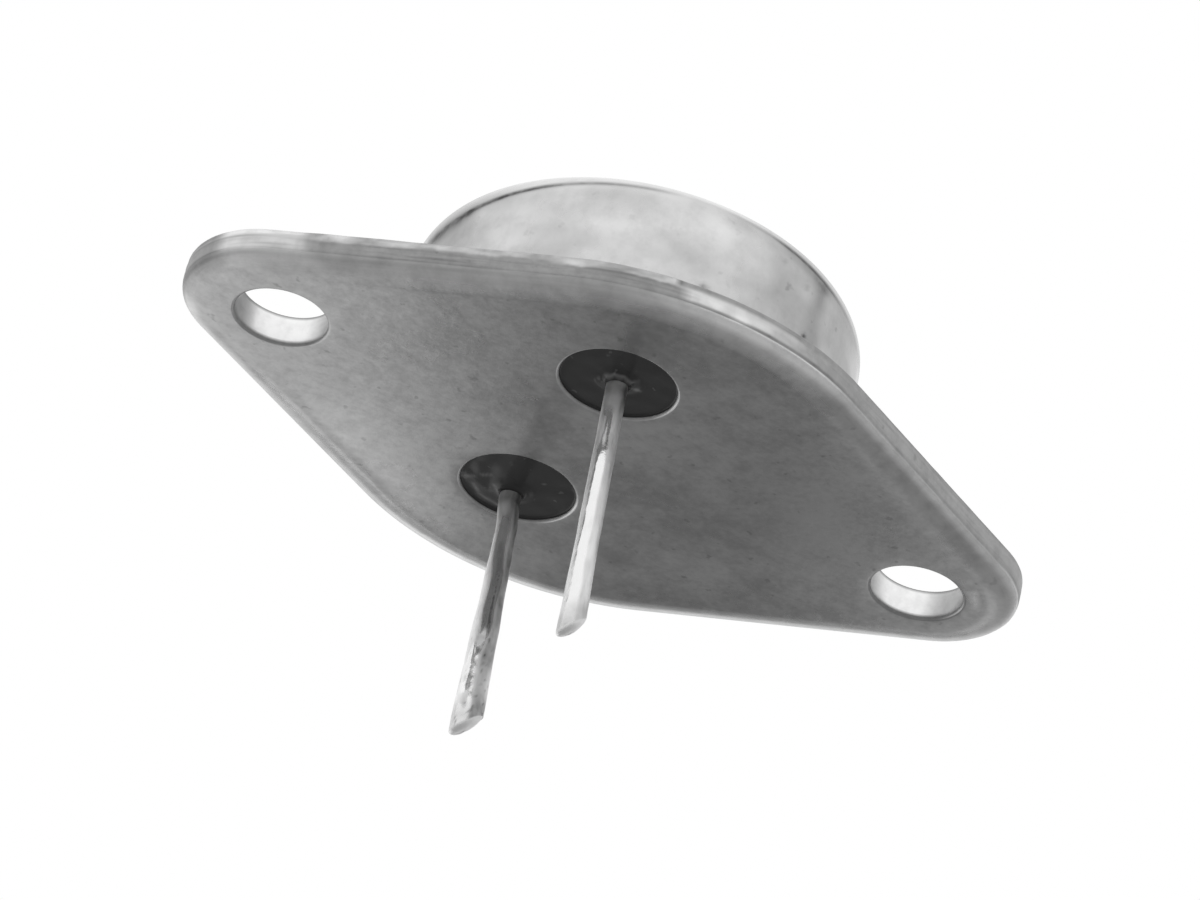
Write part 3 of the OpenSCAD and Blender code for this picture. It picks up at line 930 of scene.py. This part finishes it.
class Graph:
    """A material's node tree, with short calls that add a node and return its output socket."""

    def __init__(self, name):
        self.material = bpy.data.materials.new(name)
        self.material.use_nodes = True
        self.tree = self.material.node_tree
        self.tree.nodes.clear()
        self.output = self.tree.nodes.new("ShaderNodeOutputMaterial")
        self.coordinates = self.tree.nodes.new("ShaderNodeTexCoord").outputs["Object"]

    def link(self, value, socket):
        """Joins a socket to another or, with a plain value, sets it."""
        if isinstance(value, bpy.types.NodeSocket):
            self.tree.links.new(value, socket)
        elif value is not None:
            socket.default_value = value

    def node(self, kind, inputs, **settings):
        """Adds a node with its settings, and joins or sets its inputs, by name or number."""
        node = self.tree.nodes.new("ShaderNode" + kind)
        for name, value in settings.items():
            setattr(node, name, value)
        for name, value in inputs.items():
            self.link(value, node.inputs[name])
        return node

    def attribute(self, name, output="Fac"):
        return self.node("Attribute", {}, attribute_name=name).outputs[output]

    def scaled(self, vector, scale):
        return self.node("Mapping", {"Vector": vector, "Scale": scale}).outputs["Vector"]

    def noise(self, scale, detail=3.0, roughness=0.5, distortion=0.0, vector=None):
        inputs = {"Vector": vector or self.coordinates, "Scale": scale, "Detail": detail,
                  "Roughness": roughness, "Distortion": distortion}
        return self.node("TexNoise", inputs).outputs["Fac"]

    def ramp(self, value, low, high, to_low=0.0, to_high=1.0):
        """Maps the range from low to high smoothly to another range, and cuts off what lies outside."""
        inputs = {"Value": value, "From Min": low, "From Max": high, "To Min": to_low, "To Max": to_high}
        return self.node("MapRange", inputs, interpolation_type="SMOOTHSTEP").outputs["Result"]

    def math(self, operation, a, b, clamp=False):
        return self.node("Math", {0: a, 1: b}, operation=operation, use_clamp=clamp).outputs[0]

    def mix(self, share, a, b):
        inputs = {"Factor": share, "A": rgba(a), "B": rgba(b)}
        return self.node("Mix", inputs, data_type="RGBA").outputs["Result"]

    def bump(self, height, distance, strength, normal=None):
        inputs = {"Height": height, "Distance": distance, "Strength": strength, "Normal": normal}
        return self.node("Bump", inputs).outputs["Normal"]

    def surface(self, **inputs):
        named = {name.replace("_", " "): value for name, value in inputs.items()}
        shader = self.node("BsdfPrincipled", named)
        self.link(shader.outputs[0], self.output.inputs["Surface"])


def rgba(color):
    """A grey or a colour as four numbers; a socket stays as it is."""
    if isinstance(color, (int, float)):
        return (color, color, color, 1.0)
    if isinstance(color, tuple):
        return (*color, 1.0)
    return color


# ---- materials

def plated(name, greys, roughs, dragged_rough, streak_scale, streak_depth, bright, dark, metallic=1.0):
    """Dull plated steel: cloudy greys, grain, specks and streaks along the flow, with its wear and its
    painted light and shade.

    Greys and roughs are spans. Dragged places change in roughness by dragged_rough and show streaks.
    Shine and painted light turn it towards the bright grey, and grime and painted shade towards the dark
    one.
    """
    g = Graph(name)
    clouds = g.noise(150, 4, 0.55)
    mottle = g.noise(1300, 3, 0.6)
    grain = g.noise(3200, 3, 0.6)
    shine, grime, drag = g.attribute("shine"), g.attribute("grime"), g.attribute("drag")
    share = g.math("ADD", g.math("MULTIPLY", clouds, 0.5), g.math("MULTIPLY", mottle, 0.3))
    share = g.math("ADD", share, g.math("MULTIPLY", grain, 0.2))
    color = g.mix(g.ramp(share, 0.35, 0.65), *greys)
    flow = g.scaled(g.attribute("flow", "Vector"), streak_scale)
    streaks = g.ramp(g.noise(1.0, 4, 0.6, 0.4, flow), 0.5, 0.72, 0.0, streak_depth)
    streaks = g.math("MULTIPLY", streaks, g.math("MINIMUM", drag, 1.0))
    color = g.mix(streaks, color, greys[0] * 0.55)
    specks = g.ramp(g.noise(1700, 2, 0.5), 0.66, 0.75)
    color = g.mix(g.math("MULTIPLY", specks, 0.4), color, greys[0] * 0.45)
    # The shine mark carries painted highlights as well as rubs, and the grime mark carries painted shade as
    # well as dirt
    broken_shine_and_light = g.math("MULTIPLY", shine, g.ramp(mottle, 0.3, 0.6, 0.85, 1.0), clamp=True)
    color = g.mix(broken_shine_and_light, color, bright)
    broken_grime_and_shade = g.math("MULTIPLY", grime, g.ramp(mottle, 0.3, 0.65, 0.7, 1.1), clamp=True)
    color = g.mix(broken_grime_and_shade, color, dark)
    rough = g.math("ADD", g.ramp(clouds, 0.3, 0.7, *roughs), g.math("MULTIPLY", drag, dragged_rough))
    rough = g.math("SUBTRACT", rough, g.math("MULTIPLY", shine, 0.15), clamp=True)
    normal = g.bump(mottle, 0.00003, 0.25, g.bump(grain, 0.00001, 0.4))
    g.surface(Base_Color=color, Metallic=metallic, Roughness=rough, Normal=normal)
    return g.material


def dark_glass():
    """Near-black glass with pinholes, paler and rougher along its scuffs and its painted highlights."""
    g = Graph("seal_glass")
    cloud = g.noise(500, 3, 0.5)
    scuff_and_highlight = g.attribute("shine")
    pinholes = g.ramp(g.noise(2400, 1, 0.4), 0.72, 0.78, 0.0, 0.5)
    color = g.mix(cloud, 0.034, 0.048)
    color = g.mix(pinholes, color, 0.12)
    # Paler along the scuffs and the painted highlights
    color = g.mix(scuff_and_highlight, color, 0.42)
    rough = g.math("ADD", g.ramp(cloud, 0.3, 0.7, 0.1, 0.22), g.math("MULTIPLY", scuff_and_highlight, 0.3))
    g.surface(Base_Color=color, Metallic=0.0, Roughness=rough, IOR=1.5, Specular_IOR_Level=0.1,
              Normal=g.bump(g.noise(900, 2), 0.00002, 0.3))
    return g.material


def simple(name, color, metallic, roughness):
    """A faintly cloudy finish for a piece inside the can."""
    g = Graph(name)
    cloud = g.noise(700, 4, 0.6)
    shade = tuple(0.75 * c for c in color)
    g.surface(Base_Color=g.mix(cloud, shade, color), Metallic=metallic,
              Roughness=g.ramp(cloud, 0.3, 0.7, roughness - 0.06, roughness + 0.08),
              Normal=g.bump(cloud, 0.00003, 0.3))
    return g.material


# Finishes inside the can: colour, metallic share and roughness, and the nodes that have them
FINISHES = {
    "braze": (((0.78, 0.72, 0.55), 1.0, 0.4), ["spreader_braze"]),
    "copper": (((0.72, 0.43, 0.3), 1.0, 0.35), ["heat_spreader"]),
    "solder": (((0.55, 0.56, 0.58), 1.0, 0.4), ["die_solder"]),
    "silicon": (((0.2, 0.22, 0.26), 0.3, 0.15), ["die"]),
    "bond_metal": (((0.8, 0.8, 0.82), 1.0, 0.3), [
        "emitter_contact", "base_contact", "emitter_wire_front", "emitter_wire_rear", "base_wire"]),
}

header_plate = plated("header_plate", greys=(0.21, 0.32), roughs=(0.26, 0.34), dragged_rough=0.2,
                      streak_scale=(0.35, 6.0, 1.0), streak_depth=0.35, bright=0.97, dark=0.06)
cap_plate = plated("cap_plate", greys=(0.35, 0.42), roughs=(0.26, 0.36), dragged_rough=0.0,
                   streak_scale=(1.2, 0.35, 1.0), streak_depth=0.12, bright=0.95, dark=0.05)
lead_plate = plated("lead_plate", greys=(0.7, 0.92), roughs=(0.55, 0.68), dragged_rough=-0.36,
                    streak_scale=(5.0, 0.5, 1.0), streak_depth=0.3, bright=0.95, dark=0.2, metallic=0.88)
glass = dark_glass()

make_header(header_plate)
make_cap(cap_plate)
make_seal("base_seal", BASE_SCUFFS_AND_HIGHLIGHTS, seed=23, material=glass)
make_seal("emitter_seal", EMITTER_SCUFFS_AND_HIGHLIGHTS, seed=26, material=glass)
for lead_name, lead in LEADS.items():
    make_lead(lead_name, lead, lead_plate)
for finish_name, (look, node_names) in FINISHES.items():
    finish = simple(finish_name, *look)
    for node_name in node_names:
        mesh = nodes[node_name].data
        mesh.materials.clear()
        mesh.materials.append(finish)

# ---- stage, light and camera, in metres

FLOOR_Z = -0.3
FLOOR_REACH = 3.0
FLOOR_GREY = 0.4
FLOOR_ROUGHNESS = 0.9
WORLD_STRENGTH = 1.0
# The camera's bearing from -Y towards +X, its elevation and its roll, in degrees
CAMERA_AZIMUTH = -17.54
CAMERA_ELEVATION = -32.14
CAMERA_ROLL = 13.91
CAMERA_DISTANCE = 0.36
# How far the part's origin lies to the right of the view's middle, and above it
CAMERA_OFFSET = (0.0000835, -0.0002986)
CAMERA_CLIP = (0.01, 20)
# Focal length and sensor width, in millimetres
LENS = 256.6
SENSOR = 36.0


def make_floor():
    mesh = bpy.data.meshes.new("floor")
    corners = [(x * FLOOR_REACH, y * FLOOR_REACH, FLOOR_Z) for x, y in ((-1, -1), (1, -1), (1, 1), (-1, 1))]
    mesh.from_pydata(corners, [], [(0, 1, 2, 3)])
    floor = bpy.data.objects.new("floor", mesh)
    scene.collection.objects.link(floor)
    g = Graph("floor")
    g.surface(Base_Color=rgba(FLOOR_GREY), Roughness=FLOOR_ROUGHNESS)
    mesh.materials.append(g.material)


def softbox(name, position, target, size, radiance, roll=0.0):
    """A softbox, by width and height, that the camera doesn't see."""
    data = bpy.data.lights.new(name, "AREA")
    data.shape = "RECTANGLE"
    data.size, data.size_y = size
    data.energy = radiance * pi * size[0] * size[1]
    lamp = bpy.data.objects.new(name, data)
    facing = (Vector(target) - Vector(position)).to_track_quat("-Z", "Y").to_matrix().to_4x4()
    lamp.matrix_world = Matrix.Translation(position) @ facing @ Matrix.Rotation(radians(roll), 4, "Z")
    lamp.visible_camera = False
    scene.collection.objects.link(lamp)


def make_world():
    """An even white surrounding."""
    world = bpy.data.worlds.new("world")
    scene.world = world
    world.use_nodes = True
    tree = world.node_tree
    tree.nodes.clear()
    background = tree.nodes.new("ShaderNodeBackground")
    background.inputs["Color"].default_value = (1, 1, 1, 1)
    background.inputs["Strength"].default_value = WORLD_STRENGTH
    output = tree.nodes.new("ShaderNodeOutputWorld")
    tree.links.new(background.outputs[0], output.inputs["Surface"])


def make_camera():
    """The camera, which looks up at the part."""
    bearing_turn = Matrix.Rotation(radians(CAMERA_AZIMUTH), 3, "Z")
    toward = bearing_turn @ Matrix.Rotation(radians(-CAMERA_ELEVATION), 3, "X") @ Vector((0, -1, 0))
    right = Vector((0, 0, 1)).cross(toward).normalized()
    up = toward.cross(right)
    rolled = Matrix.Rotation(radians(CAMERA_ROLL), 3, toward)
    right, up = rolled @ right, rolled @ up
    data = bpy.data.cameras.new("camera")
    data.sensor_width = SENSOR
    data.lens = LENS
    data.clip_start, data.clip_end = CAMERA_CLIP
    camera = bpy.data.objects.new("camera", data)
    place = CAMERA_DISTANCE * toward - CAMERA_OFFSET[0] * right - CAMERA_OFFSET[1] * up
    camera.matrix_world = Matrix.Translation(place) @ Matrix((right, up, toward)).transposed().to_4x4()
    scene.collection.objects.link(camera)
    return camera


make_floor()
softbox("left", position=(-0.0325, 0.062, -0.0346), target=(-0.046, 0.0085, 0), size=(0.074, 0.055),
        radiance=1.1, roll=26)
softbox("right", position=(0.0505, 0.0660, -0.0426), target=(0.030, 0, 0), size=(0.024, 0.034),
        radiance=0.62)
make_world()
scene.camera = make_camera()
scene.view_settings.view_transform = "Standard"
